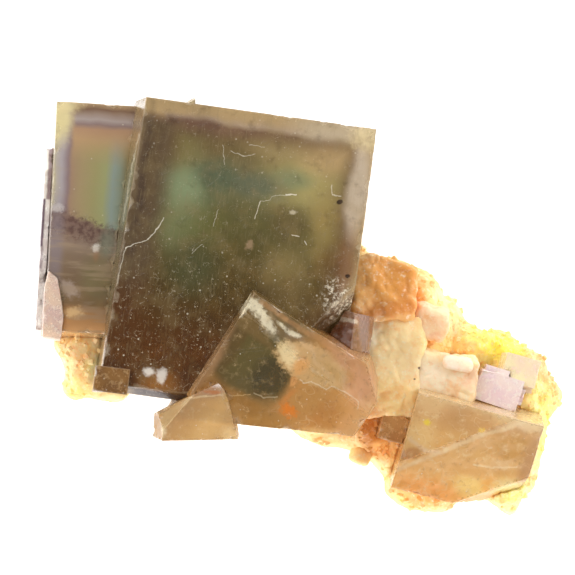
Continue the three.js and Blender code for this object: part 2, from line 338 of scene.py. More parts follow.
    def scratches(self, scale, angle, thin, keep):
        """Short fine scratches along one direction, as a 0 to 1 cover."""
        along = self.place(self.local, (0, 0, 0), (0, 0, math.radians(angle)), (14, 1, 3))
        lines = self.noise(scale, 1.0, 0.4, vector=along)
        ridge = self.math("ABSOLUTE", self.math("SUBTRACT", lines, 0.5))
        gate = self.step(self.noise(0.35, 2.0), keep, keep + 0.1)
        return self.math("MULTIPLY", self.step(ridge, 0.0, thin, 1.0, 0.0), gate)

    def bump(self, height, depth, strength=1.0, under=None):
        """A normal for height's relief, depth millimetres deep, over an earlier normal."""
        node = self.nodes.new("ShaderNodeBump")
        self.feed(node.inputs["Height"], height)
        node.inputs["Distance"].default_value = depth * MM
        node.inputs["Strength"].default_value = strength
        if under is not None:
            self.feed(node.inputs["Normal"], under)
        return node.outputs[0]

    def finish(self, colour, roughness, normal, **settings):
        """Feeds the shader, sets its plain sockets, and gives back the material."""
        self.feed(self.shader.inputs["Base Color"], colour)
        self.feed(self.shader.inputs["Roughness"], roughness)
        self.feed(self.shader.inputs["Normal"], normal)
        for name, value in settings.items():
            self.shader.inputs[name.replace("_", " ")].default_value = value
        return self.material


def clear_finish(tree, colour, cloudy, transmission=0.35, rough=0.16):
    """The surface of a fluorite face: glassy, finely scratched, dull where it is broken."""
    chip_wear_and_edge_highlight = tree.attribute("chip_wear_and_edge_highlight")
    broken = tree.attribute("broken")
    fine = tree.noise(3.2, 4.0, 0.6)
    lines = tree.math("MAXIMUM", tree.scratches(1.1, 38, 0.012, 0.52),
                      tree.scratches(0.9, -55, 0.01, 0.56))
    dull = tree.math("MAXIMUM", tree.math("MAXIMUM", chip_wear_and_edge_highlight, broken), cloudy)
    roughness = tree.math("MULTIPLY_ADD", dull, 0.3,
                          tree.math("MULTIPLY_ADD", fine, 0.1, rough - 0.04), clamp=True)
    normal = tree.bump(tree.noise(0.9, 3.0), 0.05, 0.5)
    normal = tree.bump(lines, 0.03, 0.6, normal)
    normal = tree.bump(tree.noise(6.0, 3.0, 0.65), 0.03, 0.35, normal)
    return tree.finish(colour, roughness, normal, Transmission_Weight=transmission,
                       IOR=1.43, Coat_Weight=0.25, Coat_Roughness=0.04)


def pale_chips_and_edge_highlight(tree, colour, tint=(226, 206, 172), amount=0.45):
    """Chipped edges scatter light, so they look pale; a painted highlight also runs along every sharp edge,
    chipped or not.
    """
    # Pale colour from real chips, plus a painted highlight along every sharp edge.
    chip_wear_and_edge_highlight = tree.attribute("chip_wear_and_edge_highlight")
    grain = tree.step(tree.noise(2.2, 4.0, 0.7), 0.35, 0.65)
    cover = tree.math("MULTIPLY", tree.step(chip_wear_and_edge_highlight, 0.2, 0.9), tree.math("MULTIPLY_ADD", grain, 0.7, 0.3))
    return tree.mix(tree.math("MULTIPLY", cover, amount), colour, rgb(*tint))


def face_depths(tree, right, left, top, bottom, deep, lean):
    """Depth under the nearest edge of any face: the middle one of three face distances."""
    x, y, z = tree.split(tree.at)
    left_gap = tree.math("ADD", x, tree.math("MULTIPLY_ADD", y, lean, left))
    across = tree.math("MINIMUM", tree.math("SUBTRACT", right, x), left_gap)
    along = tree.math("MINIMUM", tree.math("SUBTRACT", top, y), tree.math("ADD", y, bottom))
    down = tree.math("MINIMUM", tree.math("MULTIPLY", z, -1.0), tree.math("ADD", z, deep))
    inner = tree.math("MINIMUM", tree.math("MAXIMUM", across, along), down)
    return tree.math("MAXIMUM", tree.math("MINIMUM", across, along), inner), x, y, z


def main_finish():
    """The great cube: an olive and green middle, brown below, inside a pale zoned rim."""
    tree = Tree("zoned_main", crown("main_crystal"), axes("main_crystal"))
    tree.wave_about(0.9, 0.16)
    depth, x, y, z = face_depths(tree, 17.5, 15.8, 21, 21, 26, -0.053)
    body = tree.ramp(y, [(-21, (140, 90, 42)), (-18.5, (96, 54, 12)), (-13.6, (92, 52, 10)),
                         (-6.8, (88, 66, 26)), (-1.5, (92, 77, 36)), (4.3, (99, 92, 50)),
                         (10.5, (112, 109, 74)), (15, (116, 98, 61)), (21, (122, 98, 64))])
    for x0, y0, wide, tall, tint, amount in (
            (-9.5, 8, 3.4, 5.4, (143, 157, 115), 0.95), (-10.8, 3, 3, 3.5, (124, 126, 82), 0.8),
            (-10.5, 14, 3.4, 2.4, (136, 119, 69), 0.7), (-6, 3.5, 3, 3, (113, 112, 60), 0.6),
            (-6.5, -2.6, 3.6, 3.2, (84, 84, 50), 0.85), (-4.6, 9.7, 2, 2.4, (94, 101, 68), 0.8),
            (8.5, 12, 5.6, 4.4, (173, 159, 101), 0.95), (-4.8, 11.2, 2.8, 1.8, (84, 98, 74), 0.8),
            (1.5, 10.6, 3.8, 1.7, (98, 104, 82), 0.85), (6.3, 12.2, 2.4, 1.4, (124, 134, 98), 0.8),
            (4, 16.5, 4, 1.9, (166, 144, 97), 0.8), (11.5, 16.4, 4, 2.6, (196, 164, 114), 0.9),
            (12.4, 6.5, 2.8, 5, (162, 140, 82), 0.9), (7.2, -0.6, 3, 3, (145, 126, 78), 0.8),
            (6.6, 5.4, 2.6, 2.4, (109, 93, 54), 0.8), (13.8, 0.2, 2, 3, (117, 85, 43), 0.85),
            (8.4, -5.6, 3.2, 3, (130, 107, 62), 0.7), (13.5, -10, 3, 5, (106, 78, 44), 0.7)):
        body = tree.patch(body, x0, y0, wide, tall, tint, amount, soft=0.8)
    rim = tree.ramp(depth, [(0, (190, 160, 112)), (1.1, (184, 155, 112)),
                            (1.9, (172, 148, 122)), (2.7, (112, 84, 62)),
                            (4.4, (108, 84, 52)), (7, (112, 100, 62))])
    rim = tree.patches(rim, (
        (12, 20, 6, 1.6, (198, 180, 150), 0.8),
        (15.9, 12, 1.4, 7, (202, 184, 160), 0.9),
        (15.6, 1.2, 1.4, 3.8, (138, 98, 62), 0.85),
        (-8.5, 17.8, 8, 1.3, (118, 84, 70), 0.8, -2)))
    left_rim = tree.math("MULTIPLY", tree.step(x, -13.5, -9.5, 1.0, 0.0), tree.step(y, 19.6, 17.4))
    rim = tree.mix(left_rim, rim, rgb(100, 80, 56))
    rim = tree.patch(rim, -16.6, 12.5, 1.0, 5, (140, 116, 84), 0.8)
    low_rim = tree.step(y, -10, -2, 1.0, 0.0)
    rim = tree.mix(low_rim, rim, rgb(92, 54, 18))
    rim = tree.patch(rim, -9, -20, 3, 1.6, (150, 98, 44), 0.8)
    colour = tree.mix(tree.step(depth, 1.6, 6.0, 1.0, 0.0), body, rim)
    colour = tree.patches(colour, (
        (16.2, 19.6, 2.2, 1.8, (240, 218, 168), 0.8, 0, 0.6, 0.3),
        (-15.4, 8, 0.7, 12, (74, 56, 46), 0.55)))
    side = tree.step(z, -0.35, -0.8)
    below = tree.math("MULTIPLY", side, tree.step(y, -19.5, -20.6))
    colour = tree.mix(below, colour, rgb(78, 54, 52))
    olive = tree.ramp(y, [(-20, (206, 172, 130)), (-17, (150, 122, 86)), (-14, (92, 74, 50)),
                          (0, (96, 82, 56)), (8, (116, 102, 66)), (14, (130, 108, 72)),
                          (20, (150, 126, 88))])
    colour = tree.mix(tree.math("MULTIPLY", side, tree.step(x, -12, -14)), colour, olive)
    clouds = tree.noise(0.3, 4.0, 0.55)
    colour = tree.mix(tree.step(clouds, 0.45, 0.7, 0.0, 0.3), colour, rgb(150, 128, 86))
    colour = tree.mix(tree.step(tree.noise(0.45, 4.0, 0.6), 0.48, 0.25, 0.0, 0.35), colour, rgb(66, 46, 24))
    grain = tree.place(tree.local, (0, 0, 0), (0, 0, 0), (0.35, 2.5, 1))
    colour = tree.mix(tree.step(tree.noise(1.2, 3.0, 0.6, vector=grain), 0.5, 0.75, 0.0, 0.3),
                      colour, rgb(150, 134, 100))
    white = (236, 226, 204)
    colour = tree.path(colour, [(-11.4, 3.9), (-12.5, 1.6), (-13.2, 0.6), (-15, -0.4), (-16.4, -1.1)],
                       0.065, white, 0.85)
    for points, width, amount in (
            ([(-16.4, -1.1), (-16.7, -3.5), (-16.9, -6.5)], 0.07, 0.5),
            ([(-16.6, 15.6), (-16.9, 12.0), (-17.1, 7.0), (-17.2, 3.0)], 0.1, 0.45),
            ([(2.1, 8.2), (1.6, 5.6)], 0.06, 0.75),
            ([(2.1, 8.2), (3.4, 8.6), (3.7, 9.2), (5.7, 9.7)], 0.04, 0.5),
            ([(5.7, 9.8), (7.1, 9.9)], 0.1, 0.95),
            ([(12.0, 12.0), (12.3, 10.6), (13.6, 10.6)], 0.06, 0.6),
            ([(-4.4, 15.6), (-3.8, 12.8)], 0.05, 0.45),
            ([(-0.7, 16.2), (1.6, 16.2)], 0.05, 0.4),
            # This short white path is a painted highlight: a cluster of glints.
            ([(-3.2, 14.9), (-1.2, 14.4), (0.4, 14.9)], 0.06, 0.45),
            ([(-4.2, 3.8), (-3.8, 6.3)], 0.04, 0.5),
            ([(-6.8, -0.6), (-5.4, 0.9)], 0.04, 0.5),
            ([(7.3, 4.1), (8.3, 3.9)], 0.08, 0.8),
            ([(9.2, 3.4), (9.6, 2.9)], 0.06, 0.7)):
        colour = tree.path(colour, points, width, white, amount)
    colour = tree.patches(colour, (
        (6.8, 7.1, 0.5, 0.35, (214, 200, 168), 0.8, 0, 0.5, 0.8),
        (1.2, 1.7, 0.5, 0.7, (176, 146, 112), 0.7, 0, 0.5, 0.7),
        (-10.6, -18.5, 0.8, 0.6, (252, 244, 232), 0.9, 0, 0.5, 0.5),
        (-8.7, -18.9, 0.7, 0.9, (252, 244, 232), 0.85, 0, 0.5, 0.5)))
    curl = tree.math("MAXIMUM", tree.curls(0.9, 0.008, 0.56), tree.curls(1.9, 0.012, 0.56, 9.0))
    curl = tree.math("MULTIPLY", curl, tree.step(y, 4, -10, 0.2, 0.7))
    colour = tree.mix(curl, colour, rgb(232, 216, 186))
    glitter = tree.place(tree.at, (15.8, -5.2, 0), (0, 0, math.radians(25)), (2.6, 4.2, ANY_DEPTH))
    glint_zone = tree.step(tree.vector("LENGTH", glitter), 0.6, 1.3, 1.0, 0.0)
    glint = tree.math("MULTIPLY", glint_zone, tree.step(tree.noise(1.6, 5.0, 0.75), 0.48, 0.62))
    colour = tree.mix(tree.math("MULTIPLY", glint, 0.95), colour, rgb(252, 240, 214))
    low_half = tree.step(y, -14, 8, 1.0, 0.35)
    colour = tree.specks(colour, 0.75, 0.13, (238, 228, 205), 0.8, 0.45, low_half)
    colour = tree.specks(colour, 1.6, 0.16, (225, 210, 180), 0.7, 0.35, low_half)
    colour = tree.patches(colour, (
        (13.8, 9.6, 0.45, 0.35, (40, 25, 18), 0.9, 0, 0.3),
        (16.0, -0.6, 0.4, 0.3, (40, 25, 18), 0.9, 0, 0.3)))
    colour = pale_chips_and_edge_highlight(tree, colour)
    return clear_finish(tree, colour, tree.math("MAXIMUM", glint, below))


def left_finish():
    """The left cube: upright bands of colour, and a plum-brown lower part with a rough upper edge."""
    tree = Tree("zoned_left", crown("left_crystal"), axes("left_crystal"))
    tree.wave_about(0.5, 0.2)
    x, y, _ = tree.split(tree.at)
    across = tree.ramp(x, [(-12, (206, 192, 150)), (-11.4, (186, 176, 164)),
                           (-10.6, (176, 166, 168)), (-9.7, (146, 124, 124)), (-9.2, (168, 138, 112)),
                           (-7.8, (172, 152, 112)), (-5.8, (168, 160, 110)),
                           (-4.3, (168, 170, 118)), (-3.1, (152, 166, 156)),
                           (-2.2, (146, 156, 136)), (-1.2, (136, 124, 84)), (2, (126, 108, 72)),
                           (12, (110, 92, 66))])
    top = tree.ramp(y, [(8, (178, 158, 112)), (11.5, (196, 160, 118)), (13.0, (184, 146, 112)),
                        (13.7, (146, 122, 116)), (14.5, (178, 164, 158)), (15.3, (160, 140, 126)),
                        (16, (128, 98, 78)), (16.8, (186, 156, 116))])
    frame_side = tree.step(x, -9.0, -9.9)
    colour = tree.mix(tree.math("MULTIPLY", tree.step(y, 7, 13), tree.math("SUBTRACT", 1.0, frame_side)),
                      across, top)
    colour = tree.patches(colour, (
        (-11.2, 14.6, 1.5, 3.4, (232, 216, 158), 0.9, 0, 0.6, 0.2),
        (-11.2, 16.4, 2.6, 0.9, (236, 218, 164), 0.8, 0, 0.6, 0.2)))
    low = tree.ramp(y, [(-16.8, (236, 180, 120)), (-15.5, (204, 152, 98)), (-13.4, (172, 128, 82)),
                        (-12.7, (134, 106, 72)), (-9.1, (130, 106, 80)), (-5.6, (140, 118, 96)),
                        (-4.2, (160, 138, 118)), (-2.5, (142, 116, 100)), (-0.6, (134, 106, 94))])
    slope = tree.math("MULTIPLY_ADD", x, 0.3, y)
    slope = tree.math("ADD", slope, tree.math("MULTIPLY_ADD", tree.noise(0.9, 4.0), 2.4, 1.5))
    colour = tree.mix(tree.step(slope, 0.7, -0.3), colour, low)
    rough_band = tree.math("MULTIPLY", tree.step(slope, 1.5, -0.3), tree.step(slope, -4.0, -1.5))
    grain = tree.step(tree.noise(1.3, 5.0, 0.72), 0.42, 0.6)
    colour = tree.mix(tree.math("MULTIPLY", rough_band, grain), colour, rgb(100, 72, 64))
    colour = tree.patches(colour, (
        (-10.9, -5, 1.0, 6, (146, 134, 140), 0.6),
        (-4.6, -8.6, 2.2, 3.4, (132, 122, 84), 0.7, 0, 0.6, 0.2),
        (-3.4, -3.4, 1.2, 1.8, (128, 138, 116), 0.6, 0, 0.6, 0.2),
        (-5.1, -4.2, 0.5, 0.5, (248, 240, 226), 0.9, 0, 0.6, 0.6),
        (-5.0, -5.3, 0.4, 0.8, (170, 124, 88), 0.5, 0, 0.8, 0.5),
        (-8.8, -10.6, 1.6, 0.9, (196, 176, 160), 0.7, -30, 0.6, 0.6),
        (-7.6, -14.0, 1.3, 0.7, (244, 206, 150), 0.8, 0, 0.6, 0.6),
        (-10.9, 1.2, 0.8, 0.6, (206, 196, 192), 0.8, 0, 0.6, 0.5)))
    stripes = tree.noise(0.8, 3.0, vector=tree.place(tree.local, (0, 0, 0), (0, 0, 0), (7, 1, 7)))
    colour = tree.mix(tree.math("MULTIPLY", tree.step(stripes, 0.5, 0.62), tree.step(y, 0, -4, 0.1, 0.5)),
                      colour, rgb(176, 152, 122))
    colour = tree.specks(colour, 0.9, 0.12, (240, 232, 210), 0.7, 0.3)
    colour = pale_chips_and_edge_highlight(tree, colour, (236, 216, 170))
    return clear_finish(tree, colour, tree.math("MULTIPLY", rough_band, 0.6))


def front_finish():
    """The tilted front crystal: a dark smoky window, a cream fan, and an orange stain."""
    tree = Tree("straw_front", crown("front_crystal"), axes("front_crystal"))
    tree.wave_about(0.5, 0.3)
    x, y, _ = tree.split(tree.at)
    colour = tree.ramp(x, [(-12.6, (190, 150, 108)), (-12.0, (140, 106, 66)), (-11.3, (100, 78, 40)),
                           (-8, (110, 88, 45)), (-5, (116, 92, 48)), (-2, (150, 114, 62)),
                           (1, (190, 138, 74)), (6, (200, 146, 80)), (11, (222, 170, 110))])
    colour = tree.mix(tree.step(y, 0.0, -3.0), colour, rgb(178, 130, 66))
    colour = tree.zone(colour, -12.0, -5.5, 6.6, 12.5, (128, 102, 58), 0.8)
    colour = tree.patch(colour, -11.8, -0.6, 1.0, 5, (176, 134, 92), 0.8)
    colour = tree.zone(colour, -9.3, -0.9, 0.4, 6.4, (104, 90, 46), 0.92, 0.6)
    colour = tree.patches(colour, (
        (-6.6, 0.0, 2.8, 1.3, (104, 88, 46), 0.85, 0, 0.6, 0.2),
        (-3.4, 2.9, 2.6, 3.2, (76, 64, 34), 0.9, 0, 0.4, 0.2),
        (-4.8, 7.6, 2.6, 0.9, (92, 84, 48), 0.75, -10, 0.6, 0.3),
        (0.6, 7.6, 5.6, 2.7, (212, 172, 114), 0.95, 8, 0.14, 0.2),
        (2.6, 8.0, 3.4, 1.3, (196, 156, 92), 0.7, -4, 0.6, 0.3),
        (-3.0, 7.0, 1.9, 1.1, (248, 224, 170), 0.85, -30, 0.5, 0.5),
        (-0.6, 6.6, 1.0, 1.2, (232, 168, 96), 0.7, 0, 0.5, 0.5),
        (4.7, 11.0, 3.6, 1.2, (206, 150, 104), 0.8, -8, 0.6, 0.3),
        (9.0, 8.8, 2.4, 2.2, (216, 160, 116), 0.8, 0, 0.6, 0.3)))
    colour = tree.zone(colour, 0.6, 8.5, 1.2, 4.9, (196, 144, 78), 0.7, 0.6)
    colour = tree.patches(colour, (
        (6.4, 2.2, 1.8, 2.6, (186, 128, 64), 0.6, 0, 0.6, 0.3),
        (-4.4, -2.4, 3.2, 1.0, (160, 112, 48), 0.7, 0, 0.6, 0.4),
        (1.6, 0.2, 1.2, 0.9, (232, 132, 40), 0.95, 0, 0.5, 0.7),
        (0.3, 1.8, 0.35, 1.6, (214, 138, 66), 0.6, -16, 0.8, 0.6),
        (7.2, -0.4, 3.2, 0.9, (240, 190, 120), 0.85, 33, 0.6, 0.4),
        (-0.2, 4.2, 0.5, 0.8, (236, 170, 100), 0.7, 0, 0.5, 0.5)))
    for x0, y0, wide, tall, turn in ((-11.0, 10.2, 1.6, 0.8, -8), (-8.2, 9.4, 1.7, 0.65, -20),
                                     (-12.0, 9.4, 0.5, 1.2, 0), (-5.9, 10.1, 0.8, 0.3, -16),
                                     (-3.9, 9.95, 1.0, 0.3, 8), (-9.6, 9.9, 0.9, 0.5, 30)):
        colour = tree.patch(colour, x0, y0, wide, tall, (248, 234, 198), 0.85, turn, 0.5, 0.7)
    pale = (240, 220, 186)
    staircase = [(0.4, 4.9), (1.2, 4.7), (2.0, 5.6), (4.4, 5.7), (4.8, 6.6), (6.8, 6.9), (9.3, 6.8),
                 (9.8, 5.8)]
    top_edge = [(-10.4, 11.3), (-6, 11.1), (-2.3, 11.0), (3, 11.6)]
    colour = tree.path(colour, staircase, 0.07, pale, 0.55)
    colour = tree.path(colour, top_edge, 0.35, (186, 136, 82), 0.6)
    colour = tree.path(colour, [(-4.1, -0.3), (-2.6, -0.2), (-1.0, 0.9)], 0.1, (196, 176, 138), 0.6)
    colour = tree.path(colour, [(-6.8, -2.6), (-4.4, -0.8)], 0.07, (220, 180, 120), 0.6)
    mottle = tree.noise(0.8, 5.0, 0.68)
    colour = tree.mix(tree.step(mottle, 0.5, 0.75, 0.0, 0.3), colour, rgb(222, 186, 132))
    colour = tree.mix(tree.step(tree.noise(1.3, 5.0, 0.7), 0.47, 0.25, 0.0, 0.5), colour, rgb(104, 74, 36))
    veins = tree.math("MULTIPLY", tree.curls(0.5, 0.014, 0.5, 4.0), tree.step(x, -1, 2, 0.08, 0.35))
    colour = tree.mix(veins, colour, rgb(236, 206, 156))
    colour = tree.specks(colour, 1.1, 0.13, (246, 236, 214), 0.7, 0.25)
    colour = pale_chips_and_edge_highlight(tree, colour, (226, 200, 156), 0.3)
    return clear_finish(tree, colour, tree.step(mottle, 0.5, 0.8, 0.0, 0.6))


def foot_finish():
    """The small crystal at the front one's foot: straw, with one pale ridge."""
    tree = Tree("straw_foot", crown("foot_crystal"), axes("foot_crystal"))
    tree.wave_about(0.4, 0.4)
    x = tree.split(tree.at)[0]
    colour = tree.ramp(x, [(-9, (224, 204, 156)), (-6.9, (212, 190, 142)), (-6.3, (180, 136, 80)),
                           (-4.5, (190, 144, 80)), (-2, (206, 160, 90)), (6, (190, 144, 84))])
    colour = tree.patches(colour, (
        (-5.3, 5.4, 2.6, 1.1, (178, 134, 100), 0.8, 42, 0.6, 0.25),
        (-4.4, 5.6, 1.4, 0.26, (196, 116, 50), 0.85, 38, 0.6, 0.5),
        (-4.7, 7.1, 1.2, 0.6, (250, 228, 214), 0.9, 38, 0.6, 0.5),
        (-1.2, 1.0, 1.6, 2.4, (220, 176, 106), 0.6, 0, 0.6, 0.3),
        (2.3, 2.6, 1.6, 1.2, (238, 200, 136), 0.8, 0, 0.6, 0.3),
        (-6.8, -4.0, 1.0, 1.0, (246, 228, 186), 0.8, 0, 0.5, 0.3)))
    colour = tree.path(colour, [(-6.6, 2.6), (-4.9, 4.4), (-3.0, 6.1)], 0.12, (236, 204, 154), 0.6)
    mottle = tree.noise(1.0, 5.0, 0.65)
    colour = tree.mix(tree.step(mottle, 0.5, 0.75, 0.0, 0.35), colour, rgb(232, 206, 158))
    colour = tree.mix(tree.step(tree.noise(1.5, 5.0, 0.7), 0.46, 0.28, 0.0, 0.4), colour, rgb(140, 102, 58))
    colour = tree.specks(colour, 1.3, 0.13, (248, 238, 218), 0.7, 0.25)
    colour = pale_chips_and_edge_highlight(tree, colour, (236, 210, 170), 0.3)
    return clear_finish(tree, colour, tree.step(mottle, 0.5, 0.8, 0.0, 0.5))


def right_finish():
    """The right crystal: straw, crossed by one pale veil, more orange towards its lower end."""
    tree = Tree("straw_right", crown("right_crystal"), axes("right_crystal"))
    tree.wave_about(0.6, 0.25)
    y = tree.split(tree.at)[1]
    colour = tree.ramp(y, [(-9, (252, 184, 96)), (-6, (248, 190, 104)), (-3, (236, 184, 108)),
                           (0, (228, 180, 110)), (3, (224, 178, 112)), (5.5, (216, 170, 112)),
                           (6.8, (228, 192, 138)), (7.5, (240, 212, 160))])
    colour = tree.patches(colour, (
        (-7.6, 6.0, 2.4, 1.6, (238, 202, 144), 0.8),
        (-7.6, 1.6, 2.2, 2.4, (242, 206, 140), 0.8),
        (-1.8, 5.6, 3.4, 2.0, (206, 160, 104), 0.7, 12),
        (6.2, 2.4, 3.2, 2.6, (212, 160, 84), 0.8, 0, 0.6, 0.15),
        (9.0, 1.0, 1.2, 4.0, (190, 142, 96), 0.7),
        (7.4, 8.0, 2.4, 1.4, (242, 212, 162), 0.8),
        (-8.3, -1.7, 1.7, 0.8, (190, 138, 86), 0.8, 30, 0.5, 0.3),
        (-4.7, -6.6, 4.4, 2.0, (252, 176, 88), 0.9, 0, 0.6, 0.25),
        (1.6, -4.2, 2.4, 1.4, (255, 220, 128), 0.85, 0, 0.6, 0.2),
        (4.2, -3.4, 1.4, 1.3, (252, 190, 96), 0.8, 0, 0.6, 0.2),
        (7.4, -3.8, 2.4, 1.8, (255, 236, 160), 0.9, 0, 0.6, 0.2),
        (-7.2, 3.5, 0.5, 0.4, (252, 226, 80), 0.9, 0, 0.7, 0.8),
        (0.8, 4.4, 0.5, 0.4, (252, 214, 90), 0.7, 0, 0.7, 0.8)))
    pale = (248, 226, 180)
    colour = tree.path(colour, [(-9.9, -4.9), (-3.5, 0.2), (1.1, 3.9), (4.0, 5.6), (8.9, 9.1)], 0.32, pale,
                       0.5, soft=0.9)
    colour = tree.path(colour, [(-9.0, 0.4), (-6.4, -0.6), (-4.4, -0.4)], 0.3, (238, 214, 178), 0.5,
                       soft=0.9)
    colour = tree.path(colour, [(1.2, -0.9), (4.2, -0.6), (7.4, 0.4)], 0.14, pale, 0.6)
    colour = tree.patch(colour, 5.0, 0.3, 2.8, 0.9, (240, 200, 140), 0.55, turn=10, ragged=0.5)
    mottle = tree.noise(0.7, 5.0, 0.66)
    colour = tree.mix(tree.step(mottle, 0.5, 0.72, 0.0, 0.5), colour, rgb(248, 222, 168))
    colour = tree.mix(tree.step(tree.noise(1.1, 5.0, 0.7), 0.47, 0.28, 0.0, 0.5), colour, rgb(180, 132, 76))
    veins = tree.math("MULTIPLY", tree.curls(0.45, 0.014, 0.48, 2.0), 0.35)
    colour = tree.mix(veins, colour, rgb(250, 230, 184))
    colour = tree.specks(colour, 1.0, 0.13, (250, 242, 222), 0.7, 0.3)
    colour = pale_chips_and_edge_highlight(tree, colour, (246, 226, 190), 0.3)
    return clear_finish(tree, colour, tree.step(mottle, 0.5, 0.8, 0.0, 0.5))


def small_finish(name, node, tints, transmission=0.3):
    """A small crystal's finish: three tints marbled together, with pale edges."""
    tree = Tree(name, crown(node), axes(node))
    tree.wave_about(0.5, 0.4)
    pale = (250, 242, 226)
    broad = tree.step(tree.noise(0.3, 3.0, vector=tree.at), 0.35, 0.65)
    colour = tree.mix(broad, rgb(*tints[0]), rgb(*tints[1]))
    fine = tree.step(tree.noise(1.1, 5.0, 0.7), 0.48, 0.66)
    colour = tree.mix(tree.math("MULTIPLY", fine, 0.75), colour, rgb(*tints[2]))
    colour = tree.specks(colour, 1.6, 0.18, pale, 0.7, 0.35)
    colour = pale_chips_and_edge_highlight(tree, colour, pale, 0.4)
    return clear_finish(tree, colour, fine, transmission=transmission, rough=0.2)


def plate_finish():
    """The thin edge plate: nearly white, with plum streaks where it is thickest."""
    tree = Tree("plum_plate", crown("edge_plate"), axes("edge_plate"))
    tree.wave_about(0.15, 0.8)
    broad = tree.step(tree.noise(0.5, 4.0, 0.65), 0.4, 0.6)
    colour = tree.mix(broad, rgb(250, 244, 236), rgb(226, 214, 206))
    low_end = tree.math("MULTIPLY", tree.step(tree.noise(0.7, 5.0, 0.7), 0.46, 0.6),
                        tree.step(tree.split(tree.at)[1], -1, -3))
    colour = tree.mix(tree.math("MULTIPLY", low_end, 0.6), colour, rgb(170, 152, 148))
    colour = tree.zone(colour, 0.1, 1.0, 5.8, 15, (138, 112, 114), 0.9, 0.15)
    colour = tree.zone(colour, -1.0, 0.0, -1.2, 5.8, (98, 72, 86), 0.95, 0.15)
    colour = tree.zone(colour, -0.4, 0.1, -4.5, -1.2, (128, 102, 108), 0.7, 0.2)
    return clear_finish(tree, colour, broad, transmission=0.2, rough=0.2)


def side_finish():
    """The plum crystal behind the front one: maroon in the middle, with a paler right side."""
    tree = ground_tree("plum_side")
    tree.wave_about(0.5, 0.4)
    fine = tree.step(tree.noise(1.1, 5.0, 0.7), 0.48, 0.66)
    broad = tree.step(tree.noise(0.4, 3.0, vector=tree.at), 0.35, 0.65)
    colour = tree.mix(broad, rgb(178, 130, 92), rgb(160, 108, 72))
    colour = tree.patches(colour, (
        (5.9, -4.8, 2.0, 2.2, (116, 64, 32), 0.9, 0, 0.6, 0.25),
        (8.6, -3.2, 0.9, 3.6, (160, 134, 130), 0.85, 0, 0.4, 0.25)))
    colour = tree.path(colour, [(3.6, -2.2), (5.4, -2.4), (7.2, -2.7)], 0.3, (236, 220, 196), 0.8)
    colour = tree.mix(tree.math("MULTIPLY", fine, 0.4), colour, rgb(196, 160, 140))
    colour = pale_chips_and_edge_highlight(tree, colour, (236, 220, 200), 0.3)
    return clear_finish(tree, colour, fine, transmission=0.25, rough=0.2)


def ground_tree(name):
    """A tree whose coordinates are the specimen's own millimetres."""
    low, high = CAD_BOX
    return Tree(name, Vector(((low[0] + high[0]) / 2, (low[1] + high[1]) / 2, 0)))


# Stains of the crust and of the blocks grown into it: centre x and y, half sizes,
# colour, strength and turn.
STAINS = (
    (-30.0, -14.0, 8.0, 5.0, (255, 226, 166), 0.9, 0),
    (-32.8, -12.6, 2.4, 2.0, (255, 208, 116), 0.9, 0),
    (-28.0, -15.6, 2.6, 1.2, (255, 200, 112), 0.8, 0),
    (-29.6, -9.0, 2.4, 1.6, (255, 240, 176), 0.9, 0),
    (14.2, 3.4, 5.8, 4.4, (244, 176, 86), 0.9, 0),
    (12.4, -0.6, 4.6, 1.0, (222, 138, 62), 0.8, 4),
    (15.6, 1.2, 1.6, 2.2, (226, 146, 70), 0.7, 0),
    (20.6, 6.4, 3.6, 2.6, (255, 230, 154), 0.85, -35),
    (21.5, 0.6, 2.6, 2.4, (255, 244, 176), 0.9, -30),
    (13.4, -2.4, 4.2, 1.1, (246, 196, 124), 0.85, 0),
    (13.6, -7.0, 4.2, 4.4, (255, 226, 172), 0.9, 20),
    (9.8, -4.4, 1.0, 3.2, (255, 244, 222), 0.8, -20),
    (16.4, -7.2, 1.4, 3.4, (254, 222, 168), 0.7, 10),
    (13.0, -13.6, 3.8, 2.4, (255, 218, 148), 0.9, 0),
    (21.5, -5.8, 4.6, 2.2, (255, 222, 146), 0.9, -8),
    (19.4, -4.6, 0.9, 0.7, (240, 168, 88), 0.8, 0),
    (22.8, -7.2, 2.4, 0.8, (246, 186, 110), 0.6, -10),
    (20.6, -10.6, 4.4, 2.6, (255, 234, 202), 0.9, -8),
    (24.9, -10.4, 1.3, 1.6, (238, 178, 122), 0.8, 0),
    (29.6, -5.4, 3.6, 2.2, (255, 240, 92), 0.95, -10),
    (26.4, -3.8, 2.0, 1.6, (255, 240, 130), 0.8, 0),
    (26.0, -7.6, 3.0, 1.2, (255, 232, 140), 0.8, 0),
    (36.2, -10.2, 0.8, 1.2, (244, 176, 96), 0.85, 0),
    (35.6, -14.0, 3.0, 3.2, (255, 236, 150), 0.9, 0),
    (37.8, -20.0, 2.6, 6.0, (255, 246, 136), 0.9, 0),
    (32.6, -28.4, 3.0, 3.4, (255, 252, 170), 0.95, 0),
    (27.8, -26.0, 2.4, 1.4, (255, 202, 108), 0.9, 0),
    (25.0, -28.0, 3.0, 1.6, (255, 214, 132), 0.9, 0),
    (18.0, -27.2, 4.4, 2.4, (250, 178, 92), 0.9, 0),
    (14.2, -29.0, 2.6, 1.2, (255, 244, 150), 0.9, -20),
    (10.6, -18.6, 2.2, 3.4, (206, 128, 50), 0.95, 0),
    (13.2, -21.0, 2.4, 2.0, (250, 186, 104), 0.9, 0),
    (11.6, -24.4, 2.0, 2.2, (255, 236, 170), 0.9, 0),
    (3.4, -20.0, 5.4, 1.6, (248, 206, 138), 0.9, -8),
    (-3.0, -18.0, 3.0, 1.2, (255, 232, 170), 0.8, -8),
)


